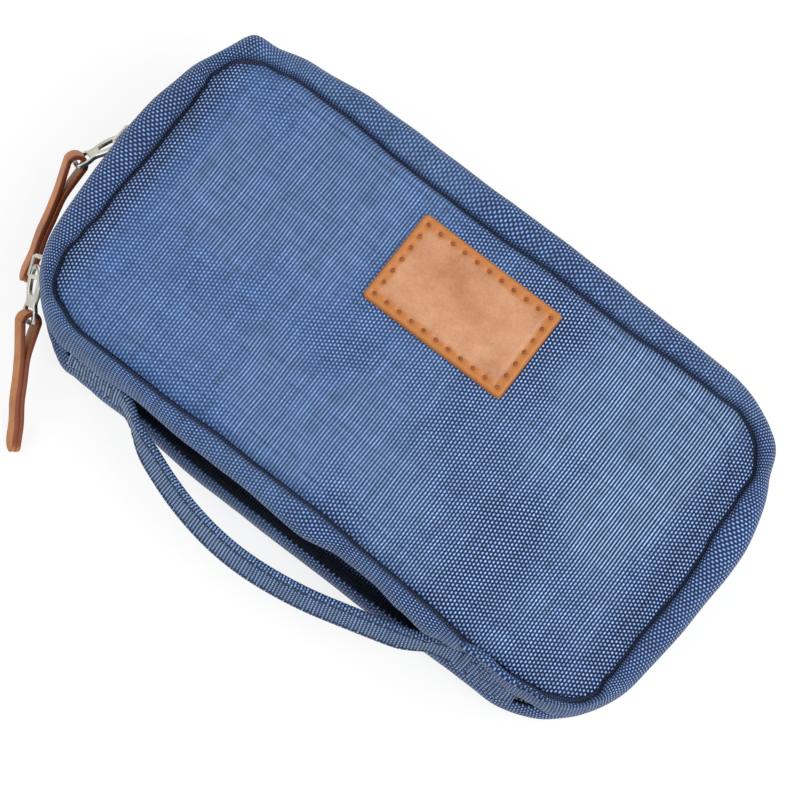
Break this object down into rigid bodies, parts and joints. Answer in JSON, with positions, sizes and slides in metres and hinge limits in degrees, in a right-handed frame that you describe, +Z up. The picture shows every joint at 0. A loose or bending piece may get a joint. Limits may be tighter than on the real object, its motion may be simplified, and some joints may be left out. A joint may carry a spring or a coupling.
{
  "type": "glucose meter case",
  "caption": "Soft blue zip-around case with a rounded border, fabric strap handle, two sliders with leather pulls and a leather label; opens like a book.",
  "frame": {"origin": "on the flat back panel that the case lies on, in the middle of its two round ends", "axes": "+X along the length, from the end with the zip sliders to the other end; +Y across, from the strap and spine side to the far zip side; +Z up, from the back panel to the front panel with the label"},
  "size_m": [0.2359, 0.1515, 0.0497],
  "materials": {
    "cloth": "plain-weave polyester, steel blue",
    "spine": "plain-weave polyester in the fold, dark navy",
    "strap": "ribbed polyester strap, steel blue",
    "lining": "tricot lining, dark navy",
    "foam": "closed-cell foam padding",
    "binding": "folded seam binding, dark navy",
    "tape": "woven zip tape, dark navy",
    "teeth": "moulded nylon teeth, dark navy",
    "metal": "cast zinc alloy, pale nickel plate",
    "leather": "tan leather, burnished edges",
    "label": "light tan leather, pressed and stitched",
    "elastic": "woven elastic, near black",
    "mesh": "open polyester mesh, dark"
  },
  "bodies": {
    "base": {"back_panel": "cloth", "back_border": "cloth", "back_binding": "binding", "back_panel_foam": "foam", "back_panel_lining": "lining", "back_border_lining": "lining", "back_zip_tape": "tape", "back_zip_teeth": "teeth", "meter_band_left": "elastic", "meter_band_right": "elastic", "pen_loop_left": "elastic", "pen_loop_right": "elastic", "strip_vial_loop": "elastic"},
    "spine": {"spine_panel": "spine", "spine_lining": "lining", "handle_tab_left": "strap", "handle_tab_right": "strap"},
    "lid": {"front_panel": "cloth", "front_border": "cloth", "front_binding": "binding", "front_panel_foam": "foam", "front_panel_lining": "lining", "front_border_lining": "lining", "front_zip_tape": "tape", "front_zip_teeth": "teeth", "leather_patch": "label", "mesh_pocket": "mesh", "pocket_hem": "elastic"},
    "handle": {"handle_strap": "strap"},
    "slider_far": {"slider_far": "metal"},
    "slider_near": {"slider_near": "metal"},
    "ring_far": {"pull_ring_far": "metal"},
    "ring_near": {"pull_ring_near": "metal"},
    "leather_far": {"pull_leather_far": "leather"},
    "leather_near": {"pull_leather_near": "leather"}
  },
  "joints": [
    {"name": "spine_fold", "type": "hinge", "parent": "base", "child": "spine", "pos_m": [0, -0.05915, 0.0165], "axis": [1, 0, 0], "range_deg": [0, 90]},
    {"name": "lid_fold", "type": "hinge", "parent": "spine", "child": "lid", "pos_m": [0, -0.05915, 0.0295], "axis": [1, 0, 0], "range_deg": [0, 88]},
    {"name": "handle_swing", "type": "hinge", "parent": "spine", "child": "handle", "pos_m": [0, -0.0573, 0.023], "axis": [1, 0, 0], "range_deg": [-30, 0]},
    {"name": "slider_far_travel", "type": "hinge", "parent": "base", "child": "slider_far", "pos_m": [0.149, 0, 0.023], "axis": [0, 0, 1], "range_deg": [0, 3.6]},
    {"name": "slider_near_travel", "type": "hinge", "parent": "base", "child": "slider_near", "pos_m": [-0.07651, -0.026, 0.023], "axis": [0, 0, -1], "range_deg": [0, 17]},
    {"name": "ring_far_swing", "type": "hinge", "parent": "slider_far", "child": "ring_far", "pos_m": [-0.11321, 0.00769, 0.023], "axis": [-0.5802, 0.2671, -0.7694], "range_deg": [0, 90]},
    {"name": "ring_near_swing", "type": "hinge", "parent": "slider_near", "child": "ring_near", "pos_m": [-0.10869, -0.03999, 0.023], "axis": [-0.6387, -0.005, -0.7694], "range_deg": [0, 90]},
    {"name": "leather_far_swing", "type": "hinge", "parent": "ring_far", "child": "leather_far", "pos_m": [-0.12012, -0.00784, 0.02282], "axis": [-0.5802, 0.2671, -0.7694], "range_deg": [0, 60]},
    {"name": "leather_near_swing", "type": "hinge", "parent": "ring_near", "child": "leather_near", "pos_m": [-0.10165, -0.05436, 0.01726], "axis": [-0.6387, -0.005, -0.7694], "range_deg": [0, 60]}
  ]
}
